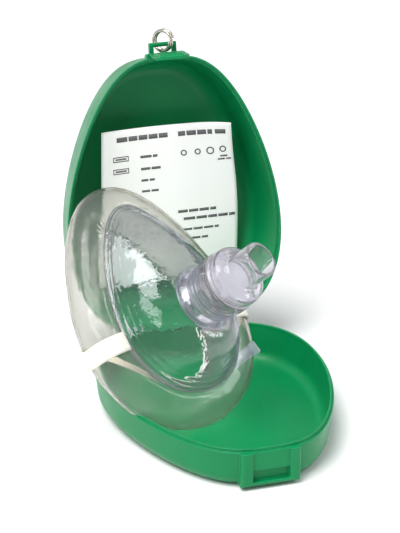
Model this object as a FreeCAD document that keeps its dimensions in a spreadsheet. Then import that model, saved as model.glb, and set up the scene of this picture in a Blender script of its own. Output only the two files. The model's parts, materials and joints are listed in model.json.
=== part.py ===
import FreeCAD, Part
import math
import os

import Sketcher

# A pocket resuscitation mask in its hinged carrying case, lid open and mask half lifted out.
# Millimetres. +Z is up. The origin is the centre of the base's flat underside, the hinge is on
# the +Y side and the latch on the -Y side. Case pieces are described as the closed case has them;
# mask pieces are described in the mask's own frame, flat: X across the face, Y towards the chin,
# Z out through the port.

SIZES = {
    # case
    "case_length": 140.0, "case_width": 108.4, "egg_taper": 0.24, "egg_power": 0.68,
    "base_height": 19.0, "lid_height": 32.0, "wall": 2.0, "base_draft": 2.2, "lid_draft": 4.6,
    "base_corner": 7.0, "lid_corner": 9.0, "lip_height": 1.5, "lip_inset": 1.1, "lip_gap": 0.15,
    "lid_open": 99.5,
    # hinge
    "knuckle_radius": 2.4, "knuckle_room": 0.3, "knuckle_half": 4.0, "hinge_half": 12.0,
    "side_gap": 0.15, "pin_radius": 0.8, "pin_play": 0.05,
    # latch and key ring bracket
    "boss_width": 29.0, "boss_front": 70.8, "boss_foot": 1.6, "boss_depth": 12.0, "boss_round": 2.0,
    "recess_width": 18.2, "recess_depth": 0.9, "recess_floor": 4.0, "catch_height": 9.8,
    "finger_depth": 1.8, "tongue_out": 0.9, "pad_height": 3.2, "pad_out": 1.6, "pad_round": 1.2,
    "tongue_width": 17.5, "tongue_drop": 13.0, "tongue_thick": 1.6, "bead_radius": 0.9,
    "bracket_width": 14.0, "bracket_reach": 6.2, "bracket_post": 2.2, "bracket_depth": 6.4,
    "pad_root": 3.0, "bracket_root": 1.5, "tongue_play": 0.2, "tongue_swing": 1.3, "tongue_round": 2.5,
    "grip_radius": 0.5, "grip_inset": 3.0, "grip_pitch": 1.8,
    "ring_radius": 5.0, "ring_wire": 0.85, "ring_turn": 50.0, "ring_play": 1.4, "ring_shift": -0.5,
    "ring_gap": 0.06, "ring_turns": 1.96,
    # leaflet
    "card_width": 69.0, "card_length": 85.0, "card_thick": 1.2, "card_corner": 2.5,
    "card_foot": 19.0, "card_depth": 26.6, "card_lean": 9.0, "card_shift": 1.5,
    # mask
    "cuff_half_length": 52.4, "cuff_half_width": 34.1, "cuff_taper": -0.277, "cuff_power": 1.0,
    "cuff_shift_x": -6.8, "cuff_shift_y": 0.45, "cuff_turn": 5.6, "cuff_radius": 12.0,
    "dome_height": 31.0, "dome_wall": 1.2, "dome_inset": 2.4, "dome_root": 3.0, "dome_swell": 2.2,
    "port_shift": 10.8, "port_tilt": 8.3, "stow_shift": 1.5, "stow_height": 14.2, "fold_angle": 49.5,
    # port and valve
    "port_bore": 11.0, "port_radius": 13.2, "port_length": 12.0, "flange_radius": 17.0,
    "flange_thick": 1.3, "skirt_radius": 15.6, "skirt_top": 4.2,
    "rib_radius": 14.2, "rib_width": 1.3, "rib_pitch": 2.4, "rib_start": 0.8, "neck_sink": 0.4,
    "fit_play": 0.05, "bore_radius": 8.6, "swivel_radius": 10.0, "swivel_foot": 13.6,
    "sleeve_foot": 1.0, "swivel_height": 2.0,
    "drum_radius": 15.2, "drum_wall": 1.6, "drum_foot": 13.8, "drum_top": 20.0, "drum_round": 1.0,
    "drum_floor": 1.4, "drum_neck": 1.2, "window_half": 1.6, "window_foot": 16.2, "window_top": 17.6,
    "cap_foot": 20.6, "cap_radius": 14.6, "cap_shoulder": 25.4, "cap_top": 28.4, "cap_wall": 1.6,
    "tip_radius": 8.8, "tip_bore": 7.4, "tip_top": 42.5, "tip_foot": 0.8, "tip_edge": 0.4,
    "seat_radius": 13.4, "seat_foot": 18.6, "seat_thick": 1.0, "slot_in": 4.0, "slot_out": 10.5,
    "slot_in_half": 2.2, "slot_out_half": 3.2, "flap_radius": 11.6, "flap_thick": 0.9,
    "pad_radius": 13.0, "pad_thick": 1.4, "pad_ring_width": 2.0, "pad_ring_thick": 1.2,
    "gasket_out": 0.3,
    # filler and strap
    "filler_x": 25.1, "filler_y": -36.1, "stem_radius": 2.7, "stem_bore": 1.5, "stem_depth": 16.5,
    "stem_lip": 0.7, "stem_lip_foot": 0.3, "stem_top": 1.1, "plug_radius": 3.4, "plug_room": 8.0,
    "plug_foot": 1.2, "plug_depth": 6.0, "plug_bevel": 0.6, "plug_side": 1.8, "plug_height": 2.6,
    "plug_crown": 0.8, "strap_width": 10.0, "strap_thick": 0.9, "strap_shift": 15.9,
    "strap_seat": 1.6, "strap_end": 3.0,
}
FOLD_LINE_POINT = FreeCAD.Vector(0, -29.8, 67.45)
FOLD_LINE_AXIS = FreeCAD.Vector(0.9016, 0.2905, 0.3206)
FILLER_AXIS = FreeCAD.Vector(0.706, 0.258, 0.657)
CROWN_STEPS = 8
OUTLINE_STEPS = 36
DOME_SHARES = (0.0, 0.12, 0.3, 0.55, 0.8, 1.0)
GRIP_COUNT = 3
RIB_COUNT = 3

X_AXIS = FreeCAD.Vector(1, 0, 0)
Y_AXIS = FreeCAD.Vector(0, 1, 0)
Z_AXIS = FreeCAD.Vector(0, 0, 1)
CLEAR = 0.1

os.makedirs("parts", exist_ok=True)
doc = FreeCAD.newDocument("pocket_mask")
sheet = doc.addObject("Spreadsheet::Sheet", "Sizes")
for row, (alias, value) in enumerate(SIZES.items(), start=1):
    sheet.set(f"A{row}", alias)
    sheet.set(f"B{row}", str(value))
    sheet.setAlias(f"B{row}", alias)
doc.recompute()

sub_parts = []


def size(alias):
    return float(sheet.get(alias))


def vector(x, y, z):
    return FreeCAD.Vector(x, y, z)


def finish(item, label, placement=None):
    """Name a sub-part, put it in its place and list it for export."""
    item.Label = label
    if placement is not None:
        item.Placement = placement
    sub_parts.append(item)
    return item


def shaped(label, shape, placement=None):
    """A sub-part whose shape is made from the sheet's sizes in code."""
    item = doc.addObject("Part::Feature", label)
    item.Shape = shape
    return finish(item, label, placement)


def origin_plane(body, role):
    return next(f for f in body.Origin.OriginFeatures if f.Role == role)


def outline_sketch(body, role, corners, name):
    """A closed sketch through corners, each an (x, y) pair of sheet expressions."""
    sketch = body.newObject("Sketcher::SketchObject", name)
    sketch.AttachmentSupport = (origin_plane(body, role), [""])
    sketch.MapMode = "FlatFace"
    count = len(corners)
    for n in range(count):
        ends = [2 * math.pi * (n + k) / count for k in (0, 1)]
        start, end = (vector(20 * math.cos(a), 20 * math.sin(a), 0) for a in ends)
        sketch.addGeometry(Part.LineSegment(start, end), False)
    for n in range(count):
        sketch.addConstraint(Sketcher.Constraint("Coincident", n, 2, (n + 1) % count, 1))
    for n, corner in enumerate(corners):
        for kind, expression, axis in zip(("DistanceX", "DistanceY"), corner, (-2, -1)):
            if expression == "0":
                sketch.addConstraint(Sketcher.Constraint("PointOnObject", n, 1, axis))
                continue
            index = sketch.addConstraint(Sketcher.Constraint(kind, -1, 1, n, 1, 10.0))
            sketch.setExpression(f"Constraints[{index}]", expression)
    return sketch


def turned(body, corners, name="Turning"):
    """Revolve a half section, given as (radius, height) expressions, about the Z axis."""
    sketch = outline_sketch(body, "XZ_Plane", corners, name + "Outline")
    turn = body.newObject("PartDesign::Revolution", name)
    turn.Profile = sketch
    turn.ReferenceAxis = (sketch, ["V_Axis"])
    turn.Angle = 360.0
    sketch.Visibility = False
    doc.recompute()
    return turn


def turned_part(label, corners, placement):
    body = doc.addObject("PartDesign::Body", label)
    turned(body, [("Sizes." + r if r[0].isalpha() else r, h) for r, h in corners])
    return finish(body, label, placement)


def pocket_around(body, corners, count, length, role="XZ_Plane"):
    """Cut one pocket through the wall and repeat it round the Z axis."""
    before = body.Shape.Volume
    sketch = outline_sketch(body, role, corners, "WindowOutline")
    pocket = body.newObject("PartDesign::Pocket", "Window")
    pocket.Profile = sketch
    pocket.Length = length
    doc.recompute()
    if not before - body.Shape.Volume > 1e-3:
        pocket.Reversed = True
        doc.recompute()
    if not before - body.Shape.Volume > 1e-3:
        raise RuntimeError(f"the pocket in {body.Name} cuts nothing")
    ring = body.newObject("PartDesign::PolarPattern", "Windows")
    ring.Originals = [pocket]
    ring.Axis = (next(f for f in body.Origin.OriginFeatures if f.Role == "Z_Axis"), [""])
    ring.Angle = 360.0
    ring.Occurrences = count
    body.Tip = ring
    doc.recompute()


# --- egg outlines ------------------------------------------------------------------------------

def egg_points(half_length, half_width, taper, power, height):
    """An egg, wide towards +Y: its width swells as the sine's power, and tapers with Y."""
    points = []
    for n in range(OUTLINE_STEPS):
        turn = 2 * math.pi * n / OUTLINE_STEPS
        across = math.copysign(abs(math.sin(turn)) ** power, math.sin(turn))
        x = half_width * across * (1 + taper * math.cos(turn))
        points.append(vector(x, half_length * math.cos(turn), height))
    return points


def smooth_wire(points):
    curve = Part.BSplineCurve()
    curve.interpolate(points, PeriodicFlag=True)
    return Part.Wire([curve.toShape()])


def case_wire(inset, height):
    half_length = size("case_length") / 2 - inset
    half_width = size("case_width") / 2 - inset
    points = egg_points(half_length, half_width, size("egg_taper"), size("egg_power"), height)
    return smooth_wire(points)


def bowl(inset, depth, corner, draft):
    """A solid egg bowl, open side at z = 0 and crown at z = depth."""
    straight = depth - corner
    sections = [(inset, 0.0), (inset + draft * straight / depth / 2, straight / 2)]
    for n in range(CROWN_STEPS + 1):
        turn = math.pi / 2 * n / CROWN_STEPS
        height = straight + corner * math.sin(turn)
        sections.append((inset + draft * height / depth + corner * (1 - math.cos(turn)), height))
    return Part.makeLoft([case_wire(i, z) for i, z in sections], True, True)


def egg_prism(inset, low, high):
    return Part.Face(case_wire(inset, low)).extrude(vector(0, 0, high - low))


def block(low, high):
    return Part.makeBox(high.x - low.x, high.y - low.y, high.z - low.z, low)


def along_x(radius, low, high, y, z):
    return Part.makeCylinder(radius, high - low, vector(low, y, z), X_AXIS)


# --- case --------------------------------------------------------------------------------------

hinge_y = size("case_length") / 2
hinge_z = size("base_height")
hinge_point = vector(0, hinge_y, hinge_z)
lid_place = FreeCAD.Placement(vector(0, 0, 0), FreeCAD.Rotation(X_AXIS, -size("lid_open")), hinge_point)


def knuckle_spans():
    """The two outer knuckles belong to the base, the one between them to the lid."""
    near = size("knuckle_half") + size("side_gap")
    return [(-size("hinge_half"), -near), (near, size("hinge_half"))]


def base_shell():
    rim = size("base_height")
    wall = size("wall")
    lip = size("lip_height")
    outer = bowl(0, rim, size("base_corner"), size("base_draft"))
    outer = outer.fuse(egg_prism(size("lip_inset"), -lip, 1))
    core = bowl(wall, rim - wall, size("base_corner") - wall, size("base_draft"))
    core = core.fuse(egg_prism(wall, -lip - 1, 0))
    half = size("boss_width") / 2
    front = -size("boss_front")
    boss = block(vector(-half, front, 0), vector(half, front + size("boss_depth"), rim - size("boss_foot")))
    outer_edges = [e for e in boss.Edges if e.BoundBox.YMax < front + 1e-3 and e.BoundBox.ZMax > 1e-3]
    boss = boss.makeFillet(size("boss_round"), outer_edges)
    shell = outer.fuse(boss).cut(core)
    shell.rotate(vector(0, 0, 0), Y_AXIS, 180)
    shell.translate(vector(0, 0, rim))

    half = size("recess_width") / 2
    back = front + size("recess_depth")
    recess = block(vector(-half, front - 1, size("recess_floor")), vector(half, back, rim + 5))
    finger_low = vector(-half, front - 1, size("recess_floor"))
    finger = block(finger_low, vector(half, back + size("finger_depth"), size("catch_height")))
    shell = shell.cut(recess).cut(finger)

    room = size("knuckle_radius") + size("knuckle_room")
    middle = size("knuckle_half") + 2 * size("side_gap")
    shell = shell.cut(along_x(room, -middle, middle, hinge_y, hinge_z))
    for low, high in knuckle_spans():
        shell = shell.fuse(along_x(size("knuckle_radius"), low, high, hinge_y, hinge_z))
    reach = size("hinge_half")
    shell = shell.cut(along_x(size("pin_radius"), -reach, reach, hinge_y, hinge_z))
    return shell.removeSplitter()


def lid_front():
    """The pad that holds the latch tongue, and the bracket for the key ring, above the rim plane."""
    front = -size("case_length") / 2
    face = front - size("pad_out")
    half = size("tongue_width") / 2 + size("pad_out")
    pad = block(vector(-half, face, 0), vector(half, front + size("pad_root"), size("pad_height")))
    pad = pad.makeFillet(size("pad_round"), [e for e in pad.Edges if e.BoundBox.YMax < face + 1e-3])

    half = size("bracket_width") / 2
    post = size("bracket_post")
    bar_y = front - size("bracket_reach") + post / 2
    bar_z = size("bracket_depth")
    root = front + size("bracket_root")
    for side in (-1, 1):
        middle = side * (half - post / 2)
        low = vector(middle - post / 2, bar_y, bar_z - post / 2)
        pad = pad.fuse(block(low, vector(middle + post / 2, root, bar_z + post / 2)))
    return pad.fuse(along_x(post / 2, -half, half, bar_y, bar_z))


def lid_shell():
    """Described closed, rim plane at the hinge's height."""
    rim = hinge_z
    wall = size("wall")
    height = size("lid_height")
    core = bowl(wall, height - wall, size("lid_corner") - wall, size("lid_draft"))
    gap = size("lip_gap")
    core = core.fuse(egg_prism(size("lip_inset") - gap, -1, size("lip_height") + gap))
    shell = bowl(0, height, size("lid_corner"), size("lid_draft"))
    shell = shell.fuse(lid_front()).cut(core)
    shell.translate(vector(0, 0, rim))

    room = size("knuckle_radius") + size("knuckle_room")
    gap = size("side_gap")
    for low, high in knuckle_spans():
        shell = shell.cut(along_x(room, low - gap, high + gap, hinge_y, hinge_z))
    half = size("knuckle_half")
    shell = shell.fuse(along_x(size("knuckle_radius"), -half, half, hinge_y, hinge_z))
    bore = size("pin_radius") + size("pin_play")
    shell = shell.cut(along_x(bore, -half - 1, half + 1, hinge_y, hinge_z))

    # the latch tongue's bead lies in a groove across the front of the rim
    shell = shell.cut(tongue_room(rim))
    return shell.removeSplitter()


def tongue_axis():
    """The tongue bends about a bead just inside the front of the lid's rim (closed)."""
    return -size("case_length") / 2 - size("tongue_out"), hinge_z + size("pad_height") / 2


def tongue_room(rim):
    y, z = tongue_axis()
    radius = size("bead_radius") + size("fit_play")
    half = size("tongue_width") / 2 + size("tongue_play")
    groove = along_x(radius, -half, half, y, z)
    thick = size("tongue_thick")
    front = y - thick / 2 - size("tongue_swing")
    slot = block(vector(-half, front, rim - 1), vector(half, y + thick / 2 + CLEAR, z))
    return groove.fuse(slot)


def latch_tongue():
    y, z = tongue_axis()
    half = size("tongue_width") / 2
    thick = size("tongue_thick")
    low = hinge_z - size("tongue_drop")
    plate = block(vector(-half, y - thick / 2, low), vector(half, y + thick / 2, z))
    corners = [e for e in plate.Edges if e.BoundBox.ZMax < low + 1e-3 and e.BoundBox.XLength < 1e-3]
    plate = plate.makeFillet(size("tongue_round"), corners)
    bead = along_x(size("bead_radius"), -half, half, y, z)
    reach = half - size("grip_inset")
    pitch = size("grip_pitch")
    grips = [along_x(size("grip_radius"), -reach, reach, y - thick / 2, low + pitch * (n + 1))
             for n in range(GRIP_COUNT)]
    return plate.fuse([bead] + grips).removeSplitter()


base = shaped("base_shell", base_shell())
shaped("lid_shell", lid_shell(), lid_place)
shaped("latch_tongue", latch_tongue(), lid_place)

pin = doc.addObject("Part::Cylinder", "hinge_pin")
pin.setExpression("Radius", "Sizes.pin_radius")
pin.setExpression("Height", "2 * Sizes.hinge_half")
finish(pin, "hinge_pin", FreeCAD.Placement(hinge_point - X_AXIS * size("hinge_half"),
                                           FreeCAD.Rotation(Y_AXIS, 90)))

# The key ring is a wire coiled twice round, hung on the bracket's bar.
wire = size("ring_wire")
pitch = 2 * wire + size("ring_gap")
coil = Part.makeHelix(pitch, pitch * size("ring_turns"), size("ring_radius"))
section = Part.Wire([Part.makeCircle(wire, vector(size("ring_radius"), 0, 0), Y_AXIS)])
coil = Part.Wire(coil).makePipeShell([section], True, True)
coil.translate(vector(0, 0, -2 * wire))
bar_at = vector(0, -size("case_length") / 2 - size("bracket_reach") + size("bracket_post") / 2,
                hinge_z + size("bracket_depth"))
hang = size("ring_radius") - wire - size("bracket_post") / 2 - size("ring_play")
bar_at += vector(size("ring_shift"), -hang, 0)
ring_turn = FreeCAD.Rotation(Y_AXIS, size("ring_turn"))
shaped("key_ring", coil, lid_place * FreeCAD.Placement(bar_at, ring_turn))

# The folded leaflet stands in the lid, its foot near the hinge and its head leaning forward.
card = doc.addObject("PartDesign::Body", "leaflet")
half_card = "Sizes.card_width / 2"
card_sketch = outline_sketch(card, "XY_Plane", [
    ("-" + half_card, "0"), (half_card, "0"),
    (half_card, "-Sizes.card_length"), ("-" + half_card, "-Sizes.card_length")], "CardOutline")
card_pad = card.newObject("PartDesign::Pad", "Card")
card_pad.Profile = card_sketch
card_pad.setExpression("Length", "Sizes.card_thick")
doc.recompute()
card_round = card.newObject("PartDesign::Fillet", "CardCorners")
uprights = [n for n, e in enumerate(card_pad.Shape.Edges, 1) if e.BoundBox.ZLength > 0.5]
card_round.Base = (card_pad, [f"Edge{n}" for n in uprights])
card_round.setExpression("Radius", "Sizes.card_corner")
card_foot = vector(size("card_shift"), hinge_y - size("card_foot"), hinge_z + size("card_depth"))
lean = FreeCAD.Rotation(X_AXIS, size("card_lean"))
finish(card, "leaflet", lid_place * FreeCAD.Placement(card_foot, lean))

# --- mask --------------------------------------------------------------------------------------

stowed = FreeCAD.Placement(vector(0, size("stow_shift"), size("stow_height")), FreeCAD.Rotation())
lifted = FreeCAD.Placement(vector(0, 0, 0), FreeCAD.Rotation(FOLD_LINE_AXIS, size("fold_angle")),
                           FOLD_LINE_POINT)
mask_place = lifted * stowed
port_local = FreeCAD.Placement(vector(0, -size("port_shift"), size("dome_height")),
                               FreeCAD.Rotation(Y_AXIS, size("port_tilt")))
port_place = mask_place * port_local
cuff_local = FreeCAD.Placement(vector(size("cuff_shift_x"), size("cuff_shift_y"), 0),
                               FreeCAD.Rotation(Z_AXIS, size("cuff_turn")))
cuff_place = mask_place * cuff_local
port_in_cuff = cuff_local.inverse() * port_local


def cuff_points(inset, height):
    return egg_points(size("cuff_half_length") - inset, size("cuff_half_width") - inset,
                      size("cuff_taper"), size("cuff_power"), height)


def cuff_tube(radius):
    """A tube along the cuff's egg: two lofts through rings, one for each side."""
    points = cuff_points(0, 0)
    count = len(points)
    rings = []
    for n in range(count + 1):
        along = points[(n + 1) % count] - points[(n - 1) % count]
        ring = Part.Wire([Part.makeCircle(radius, vector(0, 0, 0), X_AXIS)])
        ring.rotate(vector(0, 0, 0), Z_AXIS, math.degrees(math.atan2(along.y, along.x)))
        ring.translate(points[n % count])
        rings.append(ring)
    half = count // 2
    return Part.makeLoft(rings[:half + 1], True, False).fuse(Part.makeLoft(rings[half:], True, False))


def cuff_prism(inset, low, high):
    return Part.Face(smooth_wire(cuff_points(inset, low))).extrude(vector(0, 0, high - low))


def dome_skin(inset, drop):
    """The dome's surface: egg sections that shrink to the circle under the port's flange."""
    foot = size("cuff_radius") + CLEAR
    egg = cuff_points(size("dome_inset") + inset, foot - drop)
    radius = size("flange_radius") - inset
    sections = []
    for share in DOME_SHARES:
        points = []
        for n, start in enumerate(egg):
            turn = 2 * math.pi * n / OUTLINE_STEPS
            rim = vector(radius * math.sin(turn), radius * math.cos(turn), -drop)
            end = port_in_cuff.multVec(rim)
            point = start + (end - start) * share
            point.z = start.z + (end.z - start.z) * (1 - (1 - share) ** size("dome_swell"))
            points.append(point)
        sections.append(smooth_wire(points))
    return Part.makeLoft(sections, True, False)


def mask_dome():
    wall = size("dome_wall")
    high = size("cuff_radius")
    core = dome_skin(wall, wall + CLEAR)
    core = core.fuse(cuff_prism(size("dome_inset") + wall, high - size("dome_root"), high))
    length = size("port_length")
    hole = Part.makeCylinder(size("port_radius") + CLEAR, length, vector(0, 0, -length / 2))
    hole.Placement = port_in_cuff
    return dome_skin(0, CLEAR).cut(core).cut(hole)


# The filler's stem is set in the cuff on one side, at the end nearer the latch.
filler_local = FreeCAD.Placement(vector(size("filler_x"), size("filler_y"), 0),
                                 FreeCAD.Rotation(Z_AXIS, FILLER_AXIS))
filler_place = mask_place * filler_local


def air_cuff():
    """The cushion, with a socket for the stem, room for its plug, and a dent where it meets the case."""
    depth = size("stem_depth")
    socket = Part.makeCylinder(size("stem_radius") + size("fit_play"), depth,
                               vector(0, 0, size("cuff_radius") + 1 - depth))
    room = Part.makeCylinder(size("plug_radius") + 2 * CLEAR, size("plug_room"),
                             vector(0, 0, size("cuff_radius") + 2 * CLEAR))
    for cutter in (socket, room):
        cutter.Placement = cuff_local.inverse() * filler_local
    case = base.Shape.copy()
    case.Placement = cuff_place.inverse() * case.Placement
    return cuff_tube(size("cuff_radius")).cut(case).cut(socket).cut(room)


def head_strap():
    """An elastic band from one side of the dome's foot, round the cuff's back, to the other."""
    inner = size("cuff_radius") + size("fit_play")
    outer = inner + size("strap_thick")
    half = size("strap_width") / 2
    middle = -size("strap_shift")
    reach = size("case_width")
    slab = block(vector(-reach, middle - half, -outer), vector(reach, middle + half, outer))
    hug = cuff_tube(outer).cut(cuff_tube(inner)).common(slab)
    hug = hug.cut(cuff_prism(size("strap_seat"), -inner, outer + 1))
    span = size("cuff_half_width") - size("strap_end")
    back = block(vector(-span, middle - half, -outer), vector(span, middle + half, -inner))
    return hug.fuse(back)


shaped("air_cuff", air_cuff(), cuff_place)
shaped("mask_dome", mask_dome(), cuff_place)
shaped("head_strap", head_strap(), cuff_place)

# The neck is a 22 mm socket with a flange on the dome and finger rings round it.
neck = [("port_bore", "-Sizes.neck_sink"), ("port_radius", "-Sizes.neck_sink"), ("port_radius", "0"),
        ("flange_radius", "0"), ("flange_radius", "Sizes.flange_thick"),
        ("skirt_radius", "Sizes.flange_thick"), ("port_radius", "Sizes.skirt_top")]
for n in range(RIB_COUNT):
    low = f"Sizes.skirt_top + Sizes.rib_start + {n} * Sizes.rib_pitch"
    high = f"{low} + Sizes.rib_width"
    neck += [("port_radius", low), ("rib_radius", low), ("rib_radius", high), ("port_radius", high)]
neck += [("port_radius", "Sizes.port_length"), ("port_bore", "Sizes.port_length")]
turned_part("mask_port", neck, port_place)

# The valve's connector is a sleeve in the neck with a collar, and the drum turns on its top.
swivel_top = "Sizes.swivel_foot + Sizes.swivel_height"
turned_part("valve_connector", [
    ("bore_radius", "Sizes.sleeve_foot"), ("port_bore - Sizes.fit_play", "Sizes.sleeve_foot"),
    ("port_bore - Sizes.fit_play", "Sizes.port_length + 0.1"),
    ("port_radius", "Sizes.port_length + 0.1"), ("port_radius", "Sizes.swivel_foot"),
    ("swivel_radius", "Sizes.swivel_foot"), ("swivel_radius", swivel_top),
    ("bore_radius", swivel_top)], port_place)

drum = doc.addObject("PartDesign::Body", "valve_body")
turned(drum, [
    ("Sizes.swivel_radius + Sizes.fit_play", "Sizes.drum_foot"),
    ("Sizes.drum_radius - Sizes.drum_round", "Sizes.drum_foot"),
    ("Sizes.drum_radius", "Sizes.drum_foot + Sizes.drum_round"),
    ("Sizes.drum_radius", "Sizes.drum_top - Sizes.drum_wall"),
    ("Sizes.cap_radius", "Sizes.drum_top - Sizes.drum_neck"), ("Sizes.cap_radius", "Sizes.drum_top"),
    ("Sizes.drum_radius - Sizes.drum_wall", "Sizes.drum_top"),
    ("Sizes.drum_radius - Sizes.drum_wall", "Sizes.drum_foot + Sizes.drum_floor"),
    ("Sizes.swivel_radius + Sizes.fit_play", "Sizes.drum_foot + Sizes.drum_floor")])
pocket_around(drum, [
    ("-Sizes.window_half", "Sizes.window_foot"), ("Sizes.window_half", "Sizes.window_foot"),
    ("Sizes.window_half", "Sizes.window_top"), ("-Sizes.window_half", "Sizes.window_top")], 6, 20)
finish(drum, "valve_body", port_place)

# The seat is a spoked disc, and the flap lies against its underside.
seat = doc.addObject("PartDesign::Body", "valve_seat")
turned(seat, [
    ("0", "Sizes.seat_foot"), ("Sizes.seat_radius", "Sizes.seat_foot"),
    ("Sizes.seat_radius", "Sizes.seat_foot + Sizes.seat_thick"),
    ("0", "Sizes.seat_foot + Sizes.seat_thick")])
pocket_around(seat, [
    ("Sizes.slot_in", "-Sizes.slot_in_half"), ("Sizes.slot_out", "-Sizes.slot_out_half"),
    ("Sizes.slot_out", "Sizes.slot_out_half"), ("Sizes.slot_in", "Sizes.slot_in_half")], 4, 30,
    "XY_Plane")
finish(seat, "valve_seat", port_place)

flap_top = "Sizes.seat_foot - 0.1"
turned_part("flap", [
    ("0", flap_top + " - Sizes.flap_thick"), ("flap_radius", flap_top + " - Sizes.flap_thick"),
    ("flap_radius", flap_top), ("0", flap_top)], port_place)

gasket_low = "Sizes.drum_top + Sizes.fit_play"
gasket_high = "Sizes.cap_foot - Sizes.fit_play"
turned_part("drum_gasket", [
    ("drum_radius - Sizes.drum_wall", gasket_low), ("cap_radius + Sizes.gasket_out", gasket_low),
    ("cap_radius + Sizes.gasket_out", gasket_high),
    ("drum_radius - Sizes.drum_wall", gasket_high)], port_place)

pad_low = "Sizes.seat_foot + Sizes.seat_thick + 0.1"
turned_part("filter_pad", [
    ("0", pad_low), ("pad_radius", pad_low), ("pad_radius", pad_low + " + Sizes.pad_thick"),
    ("0", pad_low + " + Sizes.pad_thick")], port_place)

ring_low = pad_low + " + Sizes.pad_thick + 0.1"
ring_high = ring_low + " + Sizes.pad_ring_thick"
ring_inner = "pad_radius - Sizes.pad_ring_width"
turned_part("filter_ring", [
    (ring_inner, ring_low), ("pad_radius", ring_low), ("pad_radius", ring_high),
    (ring_inner, ring_high)], port_place)

# The cap closes the drum, rounds over its shoulder and carries the mouthpiece.
turned_part("valve_cap", [
    ("cap_radius", "Sizes.cap_foot"), ("cap_radius", "Sizes.cap_shoulder"),
    ("cap_radius - 0.5", "Sizes.cap_shoulder + 1.4"),
    ("cap_radius - 1.8", "Sizes.cap_top - 0.5"), ("cap_radius - 3.6", "Sizes.cap_top"),
    ("tip_radius + Sizes.tip_foot", "Sizes.cap_top"), ("tip_radius", "Sizes.cap_top + Sizes.tip_foot"),
    ("tip_radius", "Sizes.tip_top - Sizes.tip_edge"), ("tip_radius - Sizes.tip_edge", "Sizes.tip_top"),
    ("tip_bore", "Sizes.tip_top"), ("tip_bore", "Sizes.cap_top"),
    ("cap_radius - 4", "Sizes.cap_top - Sizes.cap_wall"), ("pad_radius + 0.1", "Sizes.cap_shoulder"),
    ("pad_radius + 0.1", "Sizes.cap_foot")], port_place)

# The filler's stem ends in a lip on the cuff's surface, and its plug pulls out.
stem_high = "Sizes.cuff_radius + Sizes.stem_top"
stem_low = stem_high + " - Sizes.stem_depth"
lip_low = "Sizes.cuff_radius + Sizes.stem_lip_foot"
turned_part("filler_stem", [
    ("stem_bore", stem_low), ("stem_radius", stem_low), ("stem_radius", lip_low),
    ("stem_radius + Sizes.stem_lip", lip_low), ("stem_radius + Sizes.stem_lip", stem_high),
    ("stem_bore", stem_high)], filler_place)

plug_low = "Sizes.cuff_radius + Sizes.plug_foot"
plug_end = plug_low + " - Sizes.plug_depth"
plug_top = plug_low + " + Sizes.plug_height"
turned_part("filler_plug", [
    ("0", plug_end), ("stem_bore - Sizes.fit_play", plug_end),
    ("stem_bore - Sizes.fit_play", plug_low), ("plug_radius - Sizes.plug_bevel", plug_low),
    ("plug_radius", plug_low + " + Sizes.plug_bevel"), ("plug_radius", plug_low + " + Sizes.plug_side"),
    ("plug_radius - Sizes.plug_crown", plug_top), ("0", plug_top)], filler_place)

# --- checks and export --------------------------------------------------------------------------

doc.recompute()
for item in doc.Objects:
    if "Invalid" in item.State or "Error" in item.State:
        raise RuntimeError(f"{item.Name} did not build: {item.State}")
for item in sub_parts:
    if item.Shape.isNull() or not item.Shape.isValid():
        raise RuntimeError(f"{item.Label} has no valid shape")
    if len(item.Shape.Solids) != 1:
        raise RuntimeError(f"{item.Label} has {len(item.Shape.Solids)} solids")
for item in sub_parts:
    item.Shape.exportStep(f"parts/{item.Label}.step")
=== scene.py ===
import json
import math

import bpy
from mathutils import Matrix, Vector, noise


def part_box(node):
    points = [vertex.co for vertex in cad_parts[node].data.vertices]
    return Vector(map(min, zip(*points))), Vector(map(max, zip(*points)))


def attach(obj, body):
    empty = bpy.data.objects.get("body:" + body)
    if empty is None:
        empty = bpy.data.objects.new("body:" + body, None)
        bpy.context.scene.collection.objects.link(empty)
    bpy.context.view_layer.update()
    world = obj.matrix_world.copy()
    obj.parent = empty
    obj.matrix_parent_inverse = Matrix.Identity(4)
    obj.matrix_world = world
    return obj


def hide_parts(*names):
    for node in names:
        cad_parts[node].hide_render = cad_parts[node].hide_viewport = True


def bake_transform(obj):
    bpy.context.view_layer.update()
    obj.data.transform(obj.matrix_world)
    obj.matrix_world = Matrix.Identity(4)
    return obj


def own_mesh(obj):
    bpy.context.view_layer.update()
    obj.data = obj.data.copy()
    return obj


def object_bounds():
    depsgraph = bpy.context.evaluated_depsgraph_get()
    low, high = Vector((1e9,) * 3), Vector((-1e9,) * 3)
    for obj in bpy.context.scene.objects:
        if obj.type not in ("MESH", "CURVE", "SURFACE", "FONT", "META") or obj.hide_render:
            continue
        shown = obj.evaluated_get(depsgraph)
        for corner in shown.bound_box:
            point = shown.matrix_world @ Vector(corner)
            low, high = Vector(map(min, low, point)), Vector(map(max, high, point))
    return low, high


# A pocket resuscitation mask in its open hinged case: the hard parts keep their CAD shapes and get
# new materials; the air cuff, dome, head strap and leaflet are built here around the frame.

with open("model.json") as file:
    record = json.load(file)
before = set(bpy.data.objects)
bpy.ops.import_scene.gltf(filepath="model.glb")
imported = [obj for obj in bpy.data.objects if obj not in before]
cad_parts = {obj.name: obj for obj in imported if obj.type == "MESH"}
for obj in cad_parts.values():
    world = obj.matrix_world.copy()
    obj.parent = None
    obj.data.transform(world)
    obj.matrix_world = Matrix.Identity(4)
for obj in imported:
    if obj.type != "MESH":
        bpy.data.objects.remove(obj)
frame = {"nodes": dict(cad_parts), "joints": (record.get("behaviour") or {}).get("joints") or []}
cad_low, cad_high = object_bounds()
joints = {joint["name"]: joint for joint in frame["joints"]}
MM = 0.001

# --- frames --------------------------------------------------------------------------------------

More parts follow.
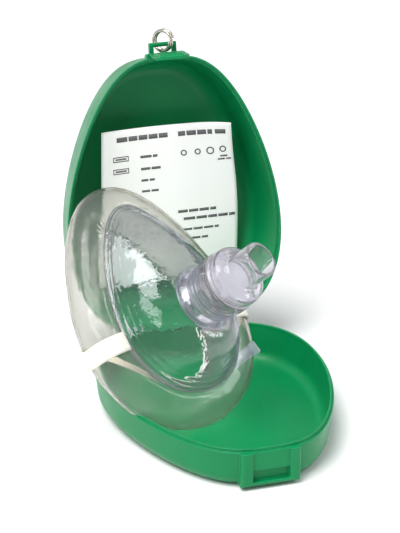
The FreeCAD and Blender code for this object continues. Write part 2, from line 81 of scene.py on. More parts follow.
fold = joints["mask_fold"]
fold_point = Vector(fold["pos_m"])
fold_turn = Matrix.Rotation(-math.radians(fold["range_deg"][0]), 4, Vector(fold["axis"]))
STOWED = Vector((0, 1.5, 14.2)) * MM
CUFF_SHIFT = Vector((-6.8, 0.45, 0))
CUFF_TURN = math.radians(5.6)
IN_MASK = Matrix.Translation(CUFF_SHIFT) @ Matrix.Rotation(CUFF_TURN, 4, "Z")
MASK = (Matrix.Translation(fold_point) @ fold_turn @ Matrix.Translation(-fold_point)
        @ Matrix.Translation(STOWED))
PORT_SHIFT = 10.8
DOME_HEIGHT = 31.0
PORT_TILT = math.radians(8.3)


def mask_point(x, y, z):
    """A point given in millimetres in the cuff's own frame, which is turned a little in the mask's."""
    return MASK @ (IN_MASK @ Vector((x, y, z)) * MM)


# --- node materials ------------------------------------------------------------------------------

class Shader:
    """A node tree under construction."""

    def __init__(self, name):
        self.material = bpy.data.materials.new(name)
        self.material.use_nodes = True
        self.tree = self.material.node_tree
        self.tree.nodes.clear()
        self.output = self.tree.nodes.new("ShaderNodeOutputMaterial")

    def link(self, source, target):
        self.tree.links.new(source, target)

    def node(self, kind, inputs=None, **settings):
        made = self.tree.nodes.new("ShaderNode" + kind)
        for key, value in settings.items():
            setattr(made, key, value)
        for key, value in (inputs or {}).items():
            if isinstance(value, bpy.types.NodeSocket):
                self.link(value, made.inputs[key])
            else:
                made.inputs[key].default_value = value
        return made

    def place(self, stretch=(1, 1, 1)):
        coordinates = self.node("TexCoord").outputs["Object"]
        return self.node("Mapping", {"Vector": coordinates, "Scale": stretch}).outputs["Vector"]

    def noise(self, scale, detail=3.0, roughness=0.55, stretch=(1, 1, 1)):
        inputs = {"Vector": self.place(stretch), "Scale": scale, "Detail": detail,
                  "Roughness": roughness}
        return self.node("TexNoise", inputs).outputs["Fac"]

    def spread(self, value, low, high, to_low=0.0, to_high=1.0):
        inputs = {"Value": value, "From Min": low, "From Max": high, "To Min": to_low,
                  "To Max": to_high}
        return self.node("MapRange", inputs, clamp=True).outputs["Result"]

    def math(self, operation, first, second=0.5):
        return self.node("Math", {0: first, 1: second}, operation=operation).outputs[0]

    def mix_color(self, factor, first, second, blend="MIX"):
        made = self.node("MixRGB", {"Fac": factor, "Color1": first, "Color2": second},
                         blend_type=blend)
        return made.outputs["Color"]

    def mix(self, factor, first, second):
        made = self.node("MixShader", {"Fac": factor})
        self.link(first, made.inputs[1])
        self.link(second, made.inputs[2])
        return made.outputs[0]

    def bump(self, height, strength, distance, normal=None):
        inputs = {"Height": height, "Strength": strength, "Distance": distance}
        if normal is not None:
            inputs["Normal"] = normal
        return self.node("Bump", inputs).outputs["Normal"]

    def finish(self, surface):
        self.link(surface, self.output.inputs["Surface"])
        return self.material


def rgb(red, green, blue):
    return (red, green, blue, 1.0)


def moulded(name, color, worn_and_rim_highlight, roughness=0.34, edge=0.0007):
    """Injection-moulded opaque plastic: faint flow marks, fine spark grain, rubbed edges with a painted
    rim highlight.
    """
    s = Shader(name)
    rounded = s.node("Bevel", {"Radius": edge}, samples=6).outputs["Normal"]
    true_normal = s.node("NewGeometry").outputs["Normal"]
    agree = s.node("VectorMath", {0: rounded, 1: true_normal}, operation="DOT_PRODUCT")
    # painted rim highlight: the edges take the lighter worn colour, partly rubbed wear and partly light
    # caught along the rims
    rub_and_rim_highlight = s.spread(agree.outputs["Value"], 0.97, 0.8)
    rub_and_rim_highlight = s.math("MULTIPLY", rub_and_rim_highlight, s.spread(s.noise(420.0), 0.35, 0.6, 0.25, 1.0))
    flow = s.spread(s.noise(26.0, 4.0, 0.6, (1, 1, 0.5)), 0.3, 0.7)
    deep = tuple(0.84 * part for part in color[:3]) + (1.0,)
    base = s.mix_color(flow, deep, color)
    base = s.mix_color(s.math("MULTIPLY", rub_and_rim_highlight, 0.75), base, worn_and_rim_highlight)
    scuff = s.spread(s.noise(900.0, 2.0, 0.5, (1, 0.06, 1)), 0.62, 0.72)
    shine = s.spread(s.noise(60.0), 0.3, 0.7, roughness - 0.05, roughness + 0.08)
    shine = s.math("ADD", shine, s.math("MULTIPLY", scuff, 0.10))
    grain = s.bump(s.noise(5200.0, 2.0), 0.10, 0.00004, rounded)
    normal = s.bump(s.noise(38.0, 2.0), 0.16, 0.0006, grain)
    body = s.node("BsdfPrincipled", {
        "Base Color": base, "Roughness": shine, "Normal": normal, "IOR": 1.5,
        "Subsurface Weight": 0.06, "Subsurface Radius": (0.3, 1.0, 0.5),
        "Subsurface Scale": 0.001, "Specular IOR Level": 0.25, "Coat Weight": 0.03,
        "Coat Roughness": 0.2})
    return s.finish(body.outputs[0])


def clear(name, tint, shade, haze=0.12, haze_color=(0.8, 0.82, 0.85, 1), roughness=0.03, ior=1.4,
          ripple=0.3, ripple_scale=90.0, ripple_depth=0.0006):
    """Transparent plastic: refraction, a little milkiness that gathers in patches, and ripples."""
    s = Shader(name)
    slow = s.noise(ripple_scale, 3.0, 0.5)
    fine = s.noise(1300.0, 2.0)
    normal = s.bump(slow, ripple, ripple_depth)
    normal = s.bump(fine, 0.05, 0.0001, normal)
    patches = s.spread(s.noise(34.0, 4.0, 0.65), 0.3, 0.72, 0.55, 1.45)
    milk = s.math("MULTIPLY", patches, haze)
    facing = s.node("LayerWeight", {"Blend": 0.45}).outputs["Facing"]
    edge = s.math("POWER", facing, 2.6)
    milk = s.math("ADD", milk, s.math("MULTIPLY", edge, haze * 0.9))
    hue = s.mix_color(edge, tint, shade)
    dull = s.spread(s.noise(150.0), 0.35, 0.7, roughness * 0.6, roughness * 1.7)
    glass = s.node("BsdfGlass", {"Color": hue, "Roughness": dull, "IOR": ior, "Normal": normal})
    cloud = s.node("BsdfDiffuse", {"Color": haze_color, "Normal": normal})
    glow = s.node("BsdfTranslucent", {"Color": haze_color, "Normal": normal})
    milky = s.mix(0.5, cloud.outputs[0], glow.outputs[0])
    seen = s.mix(milk, glass.outputs[0], milky)
    passed = s.node("BsdfTransparent", {"Color": tint})
    shadow = s.node("LightPath").outputs["Is Shadow Ray"]
    return s.finish(s.mix(shadow, seen, passed.outputs[0]))


def paper(name, color):
    s = Shader(name)
    fibres = s.noise(2600.0, 4.0, 0.7)
    stain = s.spread(s.noise(30.0, 3.0), 0.3, 0.7)
    warm = tuple(part * k for part, k in zip(color[:3], (0.985, 0.975, 0.955))) + (1.0,)
    base = s.mix_color(stain, color, warm)
    base = s.mix_color(s.math("MULTIPLY", fibres, 0.05), base, rgb(0.6, 0.6, 0.58))
    normal = s.bump(fibres, 0.12, 0.0001, s.bump(s.noise(45.0), 0.25, 0.0008))
    # painted light: the paper glows faintly through its emission, so it stays bright where little light
    # reaches it
    body = s.node("BsdfPrincipled", {"Base Color": base, "Roughness": 0.62, "Normal": normal,
                                     "Sheen Weight": 0.1, "Emission Color": base,
                                     "Emission Strength": 0.16})
    return s.finish(body.outputs[0])


def ink(name, color):
    """Grey print, a little uneven like ink on coated paper."""
    s = Shader(name)
    cover = s.spread(s.noise(3800.0, 3.0), 0.32, 0.6)
    base = s.mix_color(cover, tuple(min(1.0, 2.4 * part) for part in color[:3]) + (1.0,), color)
    body = s.node("BsdfPrincipled", {"Base Color": base, "Roughness": 0.55})
    return s.finish(body.outputs[0])


def woven(name, color, groove_shade_and_mottle):
    """Knitted elastic: rubber cords run along the band and yarn crosses them; the grooves between the
    cords are painted darker as shade.
    """
    s = Shader(name)
    uv = s.node("UVMap").outputs["UV"]
    parts = s.node("SeparateXYZ", {"Vector": uv}).outputs
    along = s.math("SINE", s.math("MULTIPLY", parts["X"], 2 * math.pi * 1100.0))
    across = s.math("SINE", s.math("MULTIPLY", parts["Y"], 2 * math.pi * 850.0))
    weave = s.math("MULTIPLY", along, across)
    cords = s.spread(across, -1.0, 1.0)
    fuzz = s.noise(2400.0, 3.0)
    height = s.math("ADD", s.math("MULTIPLY", weave, 0.35), s.math("MULTIPLY", cords, 0.6))
    height = s.math("ADD", height, s.math("MULTIPLY", fuzz, 0.25))
    # painted shade: the darker cream colour fills the grooves between the cords; below, it also mottles
    # the band at random
    base = s.mix_color(s.math("MULTIPLY", cords, 0.5), groove_shade_and_mottle, color)
    base = s.mix_color(s.spread(s.noise(70.0), 0.35, 0.7, 0.0, 0.35), base, groove_shade_and_mottle)
    normal = s.bump(height, 0.55, 0.0002)
    body = s.node("BsdfPrincipled", {"Base Color": base, "Roughness": 0.82, "Normal": normal,
                                     "Sheen Weight": 0.35, "Sheen Roughness": 0.5})
    return s.finish(body.outputs[0])


def plated(name, color):
    s = Shader(name)
    scratch = s.noise(1500.0, 3.0, 0.6, (1, 1, 0.1))
    base = s.mix_color(s.spread(s.noise(300.0), 0.4, 0.65), color, rgb(0.46, 0.42, 0.36))
    shine = s.spread(scratch, 0.3, 0.7, 0.16, 0.36)
    normal = s.bump(scratch, 0.15, 0.00005)
    body = s.node("BsdfPrincipled", {"Base Color": base, "Metallic": 1.0, "Roughness": shine,
                                     "Normal": normal})
    return s.finish(body.outputs[0])


def felt(name, color):
    s = Shader(name)
    fibres = s.node("TexVoronoi", {"Vector": s.place(), "Scale": 2200.0}).outputs["Distance"]
    base = s.mix_color(fibres, color, rgb(0.32, 0.33, 0.37))
    body = s.node("BsdfPrincipled", {"Base Color": base, "Roughness": 0.9,
                                     "Normal": s.bump(fibres, 0.6, 0.0003)})
    return s.finish(body.outputs[0])


def rubber(name, color):
    s = Shader(name)
    fine = s.noise(1800.0, 3.0)
    body = s.node("BsdfPrincipled", {
        "Base Color": s.mix_color(fine, color, rgb(0.42, 0.44, 0.48)), "Roughness": 0.42,
        "Subsurface Weight": 0.3, "Subsurface Scale": 0.002, "Transmission Weight": 0.35,
        "Normal": s.bump(fine, 0.15, 0.0001)})
    return s.finish(body.outputs[0])


# the second colour lightens the case's edges: rubbed wear with a painted rim highlight
GREEN = moulded("green_plastic", rgb(0.001, 0.245, 0.078), rgb(0.04, 0.48, 0.22))
CUFF = clear("cuff_vinyl", rgb(0.925, 0.92, 0.905), rgb(0.62, 0.595, 0.52), haze=0.065,
             haze_color=rgb(0.66, 0.67, 0.67), roughness=0.10, ior=1.27, ripple=0.4,
             ripple_scale=55.0, ripple_depth=0.0012)
SHELL = clear("dome_vinyl", rgb(0.87, 0.88, 0.90), rgb(0.56, 0.57, 0.62), haze=0.04,
              haze_color=rgb(0.66, 0.68, 0.72), roughness=0.04, ior=1.42, ripple=0.5,
              ripple_scale=85.0, ripple_depth=0.0016)
PORT_CLEAR = clear("port_vinyl", rgb(0.90, 0.90, 0.925), rgb(0.60, 0.60, 0.67), haze=0.08,
                   haze_color=rgb(0.74, 0.75, 0.80), roughness=0.06, ior=1.42, ripple=0.25)
HARD_CLEAR = clear("valve_plastic", rgb(0.935, 0.93, 0.94), rgb(0.64, 0.64, 0.68), haze=0.06,
                   haze_color=rgb(0.76, 0.76, 0.78), roughness=0.045, ior=1.44, ripple=0.12)
STEM_CLEAR = clear("stem_plastic", rgb(0.80, 0.84, 0.87), rgb(0.26, 0.33, 0.37), haze=0.42,
                   haze_color=rgb(0.88, 0.93, 0.96), roughness=0.05, ior=1.5, ripple=0.12)
# the leaflet's paper glows a little, as painted light
GLOWING_PAPER = paper("coated_paper_painted_glow", rgb(0.97, 0.967, 0.965))
INK = ink("grey_ink", rgb(0.10, 0.10, 0.105))
# the second colour is painted shade in the grooves between the cords, and random mottling
ELASTIC = woven("white_elastic", rgb(0.92, 0.915, 0.89), rgb(0.84, 0.80, 0.68))
NICKEL = plated("nickel", rgb(0.74, 0.70, 0.62))
FELT = felt("filter_felt", rgb(0.50, 0.50, 0.53))
SILICONE = rubber("silicone", rgb(0.50, 0.52, 0.56))

LOOKS = {
    "base_shell": GREEN, "lid_shell": GREEN, "latch_tongue": GREEN, "hinge_pin": NICKEL,
    "key_ring": NICKEL, "filler_stem": STEM_CLEAR, "filler_plug": STEM_CLEAR,
    "mask_port": PORT_CLEAR, "valve_connector": HARD_CLEAR, "valve_body": HARD_CLEAR,
    "valve_cap": HARD_CLEAR, "valve_seat": HARD_CLEAR, "filter_ring": HARD_CLEAR,
    "filter_pad": FELT, "drum_gasket": SILICONE, "flap": SILICONE,
}
for node_name, look in LOOKS.items():
    mesh = frame["nodes"][node_name].data
    mesh.materials.clear()
    mesh.materials.append(look)

# --- mesh helpers --------------------------------------------------------------------------------


def open_spline(points, count):
    """count points along a smooth open curve through points."""
    ends = [2 * points[0] - points[1]] + list(points) + [2 * points[-1] - points[-2]]
    made = []
    for n in range(count):
        place = n * (len(points) - 1) / (count - 1)
        k = min(int(place), len(points) - 2)
        t = place - k
        a, b, c, d = ends[k:k + 4]
        made.append(0.5 * (2 * b + (c - a) * t + (2 * a - 5 * b + 4 * c - d) * t * t
                           + (3 * b - a - 3 * c + d) * t ** 3))
    return made


class Skin:
    """Collects grids of points into one mesh."""

    def __init__(self):
        self.points = []
        self.faces = []
        self.uvs = []

    def grid(self, rows, close_rows=False, close_columns=False, flip=False):
        start = len(self.points)
        width = len(rows[0])
        for row in rows:
            self.points.extend(row)
        for i in range(len(rows) if close_rows else len(rows) - 1):
            for j in range(width if close_columns else width - 1):
                near = start + i * width
                far = start + (i + 1) % len(rows) * width
                face = [near + j, near + (j + 1) % width, far + (j + 1) % width, far + j]
                self.faces.append(face[::-1] if flip else face)

    def sheet(self, rows, thickness, normals):
        """A thin closed sheet: rows of points, and the same rows pushed back along normals."""
        back = [[p - n * thickness for p, n in zip(row, line)] for row, line in zip(rows, normals)]
        start = len(self.points)
        height = len(rows)
        width = len(rows[0])
        self.grid(rows)
        self.grid(back, flip=True)
        rim = [(0, j) for j in range(width)] + [(i, width - 1) for i in range(1, height)]
        rim += [(height - 1, j) for j in range(width - 2, -1, -1)]
        rim += [(i, 0) for i in range(height - 2, 0, -1)]
        layer = height * width
        for n, (i, j) in enumerate(rim):
            k, m = rim[(n + 1) % len(rim)]
            first = start + i * width + j
            second = start + k * width + m
            self.faces.append([second, first, first + layer, second + layer])

    def build(self, name, material, uv=None):
        mesh = bpy.data.meshes.new(name)
        mesh.from_pydata([tuple(p) for p in self.points], [], self.faces)
        mesh.validate()
        mesh.materials.append(material)
        for face in mesh.polygons:
            face.use_smooth = True
        if uv is not None:
            layer = mesh.uv_layers.new(name="UVMap")
            for corner in mesh.loops:
                layer.data[corner.index].uv = uv[corner.vertex_index]
        made = bpy.data.objects.new(name, mesh)
        bpy.context.scene.collection.objects.link(made)
        return made


def wobble(point, scale, seed, height):
    """Smooth noise from -height to height at a point in millimetres."""
    return height * noise.noise(Vector(point) * scale + Vector((seed, 0.3 * seed, -seed)))


# --- air cuff ------------------------------------------------------------------------------------

CUFF_HALF_LENGTH = 52.4
CUFF_HALF_WIDTH = 34.1
CUFF_TAPER = -0.277
CUFF_RADIUS = 12.0
VINYL = 0.9
STATIONS = 220
RING = 56
SLACK = 0.5
# places round the tube's section: angle in degrees, width in radians, height in millimetres
SEAMS = ((118, 0.06, 0.35), (132, 0.05, 0.3), (-95, 0.05, 0.35))
RESTING = ((-90, 0.7, -0.55),)
# the same with shares of the gathers' height, which show on the tube's inner side only
GATHERED = ((150, 0.5, 1.0), (-110, 0.5, 0.6))
GATHERS = 46
GATHER_HEIGHT = 0.14
# noise: scale per millimetre, seed, height in millimetres (in radians for the gathers' drift)
PUCKER = (0.16, 4.0, 0.175)
SOFTNESS = (0.045, 21.0, 0.5)
DRIFT = (0.05, 9.0, 3.0)


def egg_point(turn, inset, height=0.0):
    x = (CUFF_HALF_WIDTH - inset) * math.sin(turn) * (1 + CUFF_TAPER * math.cos(turn))
    return Vector((x, (CUFF_HALF_LENGTH - inset) * math.cos(turn), height))


def egg(inset, height, count):
    return [egg_point(2 * math.pi * n / count, inset, height) for n in range(count)]


def ridge(angle, at, width):
    """1 at the angle, falling off smoothly within the width; angles in radians."""
    away = (angle - at + math.pi) % (2 * math.pi) - math.pi
    return math.exp(-(away / width) ** 2)


def relief(angle, places):
    return sum(height * ridge(angle, math.radians(at), width) for at, width, height in places)


def cuff_radius(turn, angle, point):
    """The cushion's radius round its section: 0 is outward, a quarter turn is up."""
    gather = math.sin(turn * GATHERS + wobble(point, *DRIFT)) * relief(angle, GATHERED)
    return (CUFF_RADIUS - SLACK + relief(angle, SEAMS) + wobble(point, *PUCKER)
            + GATHER_HEIGHT * gather + wobble(point, *SOFTNESS) + relief(angle, RESTING))


def cuff_rows(depth):
    path = egg(0, 0, STATIONS)
    rows = []
    for n, centre in enumerate(path):
        along = (path[(n + 1) % STATIONS] - path[n - 1]).normalized()
        outward = along.cross(Vector((0, 0, 1)))
        if outward.dot(centre) < 0:
            outward = -outward
        turn = 2 * math.pi * n / STATIONS
        row = []
        for k in range(RING):
            angle = 2 * math.pi * k / RING
            way = outward * math.cos(angle) + Vector((0, 0, math.sin(angle)))
            surface = centre + way * CUFF_RADIUS
            row.append(mask_point(*(centre + way * (cuff_radius(turn, angle, surface) - depth))))
        rows.append(row)
    return rows


cuff_skin = Skin()
cuff_skin.grid(cuff_rows(0.0), close_rows=True, close_columns=True)
cuff_skin.grid(cuff_rows(VINYL), close_rows=True, close_columns=True, flip=True)
cuff = cuff_skin.build("cuff_skin", CUFF)

# --- dome ----------------------------------------------------------------------------------------

DOME_INSET = 2.4
DOME_SINK = 1.0
DOME_WALL = 1.2
FLANGE_RADIUS = 17.0
FLANGE_COVER = 2.0
FLANGE_INNER = 0.2
DOME_SWELL = 2.2
DOME_ROWS = 46
DOME_COLUMNS = 200
DOME_CROWDING = 1.25
# rings moulded round the dome's foot: share of the way up, height in millimetres
BEADS = ((0.024, 0.95), (0.085, 0.6), (0.15, 0.4), (0.22, 0.25))
BEAD_WIDTH = 0.016
INNER_BEAD = 0.5
# unevenness of the dome: noise scale per millimetre, seed, height in millimetres
DOME_SCALE, DOME_SEED, DOME_WAVE = 0.09, 2.0, 0.3
PORT_LOCAL = (IN_MASK.inverted() @ Matrix.Translation(Vector((0, -PORT_SHIFT, DOME_HEIGHT)))
              @ Matrix.Rotation(PORT_TILT, 4, "Y"))


def dome_rows(depth):
    """The dome's outer wall at depth 0, or the inner one below it, from the cushion to the port."""
    foot = egg(DOME_INSET + depth, CUFF_RADIUS - DOME_SINK, DOME_COLUMNS)
    radius = FLANGE_RADIUS - FLANGE_COVER - depth * FLANGE_INNER
    rows = []
    for i in range(DOME_ROWS):
        share = (i / (DOME_ROWS - 1)) ** DOME_CROWDING
        row = []
        for n, start in enumerate(foot):
            turn = 2 * math.pi * n / DOME_COLUMNS
            end = PORT_LOCAL @ Vector((radius * math.sin(turn), radius * math.cos(turn), -depth))
            point = start + (end - start) * share
            point.z = start.z + (end.z - start.z) * (1 - (1 - share) ** DOME_SWELL)
            bead = sum(height * math.exp(-((share - middle) / BEAD_WIDTH) ** 2)
                       for middle, height in BEADS)
            out = Vector((point.x, point.y, 0)).normalized()
            wave = wobble(point, DOME_SCALE, DOME_SEED + depth, DOME_WAVE)
            lift = bead * (INNER_BEAD if depth else 1.0) + wave * math.sin(math.pi * share)
            point += (out * (1 - share) + Vector((0, 0, 1)) * share) * lift
            row.append(mask_point(*point))
        rows.append(row)
    return rows


dome_skin = Skin()
dome_skin.grid(dome_rows(0.0) + dome_rows(DOME_WALL)[::-1], close_rows=True, close_columns=True,
               flip=True)
dome = dome_skin.build("dome_skin", SHELL)

# --- head strap ----------------------------------------------------------------------------------

STRAP_WIDTH = 9.4
STRAP_THICK = 0.9
STRAP_CROWN = 0.18
STRAP_LINE = -15.9
STRAP_STATIONS = 190
BUNCHED = 0.74
BUNCH_LENGTH = 0.215
TURN_STEP = 0.01
# stops along the strap: turn past the strap's line in radians, section angle in degrees
LEFT_STOPS = ((0, 104), (0, 70), (0, 35), (0, 0), (0.04, -35), (0.09, -70), (0.05, -105),
              (-0.12, -140), (-0.5, -170))
CHIN_ANGLE = -184
RIGHT_STOPS = ((0.5, -170), (0.12, -140), (0, -105), (0, -70), (0, -35), (0, 0), (0, 35), (0, 70),
               (0, 104))


def on_cuff(turn, degrees):
    """A point just off the cuff and the outward normal there, by turn and section angle."""
    path = [egg_point(turn + step, 0) for step in (-TURN_STEP, 0.0, TURN_STEP)]
    along = (path[2] - path[0]).normalized()
    outward = along.cross(Vector((0, 0, 1)))
    if outward.dot(path[1]) < 0:
        outward = -outward
    angle = math.radians(degrees)
    way = outward * math.cos(angle) + Vector((0, 0, math.sin(angle)))
    return path[1] + way * (CUFF_RADIUS + STRAP_THICK), way


def ribbon(skin, path, normals, width, uv, steps_across=6):
    """A band along path that is bunched up in its hidden middle; uv gets a pair for each point."""
    rows, lines = [], []
    length = 0.0
    for n, centre in enumerate(path):
        middle = (n / (len(path) - 1) - 0.5) / BUNCH_LENGTH
        wide = width * (1 - BUNCHED * math.exp(-middle ** 4))
        ahead = path[min(n + 1, len(path) - 1)]
        behind = path[max(n - 1, 0)]
        along = (ahead - behind).normalized()
        normal = (normals[n] - along * normals[n].dot(along)).normalized()
        across = along.cross(normal)
        if n:
            length += (centre - path[n - 1]).length
        row, line = [], []
        for k in range(steps_across + 1):
            share = k / steps_across - 0.5
            crown = STRAP_CROWN * (1 - 4 * share * share)
            row.append(mask_point(*(centre + across * wide * share + normal * crown)))
            line.append((MASK.to_3x3() @ normal).normalized())
            uv.append((length * MM, share * wide * MM))
        rows.append(row)
        lines.append(line)
    uv.extend(uv[-len(rows) * (steps_across + 1):])
    skin.sheet(rows, STRAP_THICK * MM, lines)


def strap_path():
    """Down over the left of the cuff, round inside the chin end, and up over the right."""
    side = math.acos(STRAP_LINE / CUFF_HALF_LENGTH)
    stops = [(2 * math.pi - side + past, angle) for past, angle in LEFT_STOPS]
    stops.append((math.pi, CHIN_ANGLE))
    stops += [(side + past, angle) for past, angle in RIGHT_STOPS]
    track = open_spline([Vector((turn, angle, 0)) for turn, angle in stops], STRAP_STATIONS)
    spots = [on_cuff(spot.x, spot.y) for spot in track]
    return [point for point, _ in spots], [way for _, way in spots]


strap_skin = Skin()
strap_uv = []
ribbon(strap_skin, *strap_path(), STRAP_WIDTH, strap_uv)
strap = strap_skin.build("strap_band", ELASTIC, strap_uv)

# --- leaflet -------------------------------------------------------------------------------------

card_low, card_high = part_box("leaflet")
CARD_HEIGHT = card_high.z - card_low.z
CARD_WIDTH = card_high.x - card_low.x
card_middle = (card_low.x + card_high.x) / 2
# the edges' distances from the middle, as shares of half the width: at the top, and growth below it
LEFT_EDGE, LEFT_GROWTH = 0.985, 0.02
RIGHT_EDGE, RIGHT_GROWTH = 0.945, 0.17
GROWTH_RATE = 1.5
# depths in millimetres; the curled corner's size is in shares of the leaflet's width and height
CARD_SINK = 0.8
CARD_BOW = 1.6
CARD_WAVE = 0.4
CURL_DEPTH = 4.5
CURL_WIDTH = 0.28
CURL_HEIGHT = 0.3


def card_point(u, v, forward=0.0):
    """A point on the leaflet's front: u to the right, v down, forward in millimetres."""
    down = max(v, 0.0)
    grown = math.sin(min(1.0, GROWTH_RATE * down) * math.pi / 2)
    left = -0.5 * CARD_WIDTH * (LEFT_EDGE + LEFT_GROWTH * down)
    right = 0.5 * CARD_WIDTH * (RIGHT_EDGE + RIGHT_GROWTH * grown)
    x = card_middle + left + (right - left) * u
    bow = CARD_BOW * (2 * u - 1) ** 2 * (1 - v)
    corner = max(0.0, 1 - (1 - u) / CURL_WIDTH) * max(0.0, 1 - v / CURL_HEIGHT)
    wave = CARD_WAVE * math.sin(5 * u + 2 * v)
    y = card_low.y + (CARD_SINK - bow - CURL_DEPTH * corner ** 2 + wave - forward) * MM
    z = card_high.z - v * CARD_HEIGHT
    return Vector((x, y, z))


def card_normal(u, v):
    step = 0.01
    right = card_point(u + step, v) - card_point(u - step, v)
    down = card_point(u, v + step) - card_point(u, v - step)
    facing = down.cross(right)
    if facing.y > 0:
        facing = -facing
    return facing.normalized()


def card_patch(skin, low_u, high_u, low_v, high_v, steps_u, steps_v, forward, thickness):
    """A rectangle of the leaflet, in front of its face by forward and thickness deep, in millimetres."""
    rows, lines = [], []
    for i in range(steps_v + 1):
        v = low_v + (high_v - low_v) * i / steps_v
        spots = [low_u + (high_u - low_u) * j / steps_u for j in range(steps_u + 1)]
        rows.append([card_point(u, v, forward) for u in spots])
        lines.append([card_normal(u, v) for u in spots])
    skin.sheet(rows, thickness * MM, lines)


LEAF_COUNT = 3
LEAF_GAP = 0.42
LEAF_THICK = 0.16
LEAF_INSET = 0.004
LEAF_STEPS = (40, 44)
leaves = Skin()
for layer in range(LEAF_COUNT):
    inset = LEAF_INSET * layer
    card_patch(leaves, inset, 1 - inset, inset, 1 - inset, *LEAF_STEPS, -LEAF_GAP * layer,
               LEAF_THICK)
leaflet = leaves.build("leaflet_leaves", GLOWING_PAPER)

# plain bars, frames and rings stand where a real leaflet is printed; shares of its width and height
BARS = [(0.12, 0.53, 0.062, 0.030), (0.60, 0.86, 0.062, 0.030), (0.88, 0.97, 0.062, 0.030),
        (0.30, 0.43, 0.185, 0.016), (0.30, 0.46, 0.262, 0.016), (0.30, 0.40, 0.335, 0.014),
        (0.30, 0.44, 0.405, 0.014), (0.56, 0.84, 0.560, 0.018), (0.60, 0.98, 0.610, 0.018),
        (0.14, 0.36, 0.500, 0.014), (0.14, 0.44, 0.560, 0.014), (0.14, 0.40, 0.620, 0.014),
        (0.14, 0.47, 0.680, 0.014), (0.14, 0.38, 0.740, 0.014), (0.52, 0.86, 0.680, 0.014),
        (0.52, 0.78, 0.740, 0.014), (0.90, 0.97, 0.225, 0.010), (0.88, 0.98, 0.245, 0.010)]
FRAMES = [(0.09, 0.21, 0.168, 0.202), (0.09, 0.21, 0.245, 0.279)]
RINGS = [(0.63, 0.185, 0.024), (0.735, 0.185, 0.024), (0.83, 0.185, 0.030), (0.925, 0.18, 0.026)]
PRINT_LIFT = 0.10
PRINT_THICK = 0.06
BAR_STEPS = 40
WORD_GAP = 0.010
WORD_SHORTEST = 0.05
WORD_SPREAD = 0.035
WORD_RHYTHM = (7, 40)
LINE = 0.006
RING_LINE = 0.010
RING_STEPS = 24
print_skin = Skin()


def bar(low_u, high_u, low_v, high_v):
    steps = max(2, int((high_u - low_u) * BAR_STEPS))
    card_patch(print_skin, low_u, high_u, low_v, high_v, steps, 1, PRINT_LIFT, PRINT_THICK)


for n, (low_u, high_u, middle_v, height) in enumerate(BARS):
    at = low_u
    while at < high_u - WORD_GAP:
        beat = math.sin(WORD_RHYTHM[0] * n + WORD_RHYTHM[1] * at)
        word = min(high_u - at, WORD_SHORTEST + WORD_SPREAD * beat ** 2)
        bar(at, at + word, middle_v - height / 2, middle_v + height / 2)
        at += word + WORD_GAP
for low_u, high_u, low_v, high_v in FRAMES:
    bar(low_u, high_u, low_v, low_v + LINE)
    bar(low_u, high_u, high_v - LINE, high_v)
    bar(low_u, low_u + LINE, low_v, high_v)
    bar(high_u - LINE, high_u, low_v, high_v)
    bar(low_u + 3 * LINE, high_u - 3 * LINE, low_v + 2 * LINE, high_v - 2 * LINE)
for centre_u, centre_v, radius in RINGS:
    rows, lines = [], []
    for n in range(RING_STEPS + 1):
        turn = 2 * math.pi * n / RING_STEPS
        spots = [(centre_u + reach * math.cos(turn),
                  centre_v + reach * math.sin(turn) * CARD_WIDTH / CARD_HEIGHT)
                 for reach in (radius, radius - RING_LINE)]
        rows.append([card_point(u, v, PRINT_LIFT) for u, v in spots])
        lines.append([card_normal(u, v) for u, v in spots])
    print_skin.sheet(rows, PRINT_THICK * MM, lines)
marks = print_skin.build("leaflet_print", INK)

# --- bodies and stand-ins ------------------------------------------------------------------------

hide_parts("air_cuff")
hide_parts("mask_dome")
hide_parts("head_strap")
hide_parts("leaflet")
# the cushion and strap move with the mask's body on meshes of their own; the dome is baked in place
for soft_piece in (cuff, strap):
    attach(soft_piece, "mask")
    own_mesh(soft_piece)
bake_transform(dome)
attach(leaflet, "leaflet")
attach(marks, "leaflet")

# --- floor, light and camera ---------------------------------------------------------------------

CAMERA_AZIMUTH = math.radians(-17.594)
CAMERA_ELEVATION = math.radians(23.058)
CAMERA_TARGET = Vector((0.0196, 0.09982, 0.03862))
CAMERA_DISTANCE = 1.1585
CAMERA_LENS = 150.2
FLOOR_STEP = 0.5
FLOOR_HALF = 14
FLOOR_GAP = 0.00005
WORLD_COLOR = rgb(0.97, 0.985, 1.0)
WORLD_STRENGTH = 0.42

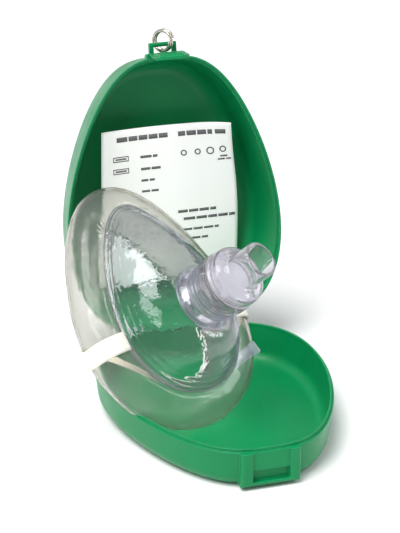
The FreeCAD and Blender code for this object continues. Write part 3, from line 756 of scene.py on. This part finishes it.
floor_skin = Skin()
marks_along = [n * FLOOR_STEP for n in range(-FLOOR_HALF, FLOOR_HALF + 1)]
floor_skin.grid([[Vector((x, y, 0)) for x in marks_along] for y in marks_along], flip=True)
s = Shader("studio_floor")
shade = s.mix_color(s.noise(3.0), rgb(0.88, 0.88, 0.885), rgb(0.90, 0.90, 0.90))
floor_body = s.node("BsdfPrincipled", {"Base Color": shade, "Roughness": 0.7,
                                       "Specular IOR Level": 0.2})
floor = floor_skin.build("floor", s.finish(floor_body.outputs[0]))
floor.location.z = cad_low.z - FLOOR_GAP

world = bpy.data.worlds.new("studio")
bpy.context.scene.world = world
world.use_nodes = True
backdrop = world.node_tree.nodes["Background"].inputs
backdrop["Color"].default_value = WORLD_COLOR
backdrop["Strength"].default_value = WORLD_STRENGTH


def lamp(name, kind, place, aim, energy, **settings):
    data = bpy.data.lights.new(name, kind)
    data.energy = energy
    for key, value in settings.items():
        setattr(data, key, value)
    made = bpy.data.objects.new(name, data)
    made.location = place
    made.rotation_euler = (Vector(aim) - Vector(place)).to_track_quat("-Z", "Y").to_euler()
    bpy.context.scene.collection.objects.link(made)
    return made


lamp("key_sun", "SUN", (-0.50, -0.20, 1.35), (0, 0.05, 0.05), 2.85, angle=math.radians(36))
lamp("softbox", "AREA", (-0.75, -0.55, 0.8), (0, 0.03, 0.06), 3.6, shape="RECTANGLE", size=0.5,
     size_y=0.35)
lamp("strip", "AREA", (0.75, -0.2, 0.55), (0, 0.05, 0.06), 2.0, shape="RECTANGLE", size=0.12,
     size_y=0.6)

back = Vector((math.sin(CAMERA_AZIMUTH) * math.cos(CAMERA_ELEVATION),
               -math.cos(CAMERA_AZIMUTH) * math.cos(CAMERA_ELEVATION), math.sin(CAMERA_ELEVATION)))
camera_data = bpy.data.cameras.new("camera")
camera_data.lens = CAMERA_LENS
camera_data.sensor_fit = "VERTICAL"
camera_data.sensor_height = 36.0
camera_data.clip_end = 100.0
camera = bpy.data.objects.new("camera", camera_data)
camera.location = CAMERA_TARGET + back * CAMERA_DISTANCE
camera.rotation_euler = (-back).to_track_quat("-Z", "Y").to_euler()
bpy.context.scene.collection.objects.link(camera)
bpy.context.scene.camera = camera

scene = bpy.context.scene
scene.view_settings.view_transform = "Standard"
scene.cycles.max_bounces = 24
scene.cycles.transmission_bounces = 24
scene.cycles.glossy_bounces = 8
scene.cycles.diffuse_bounces = 4
scene.cycles.transparent_max_bounces = 32
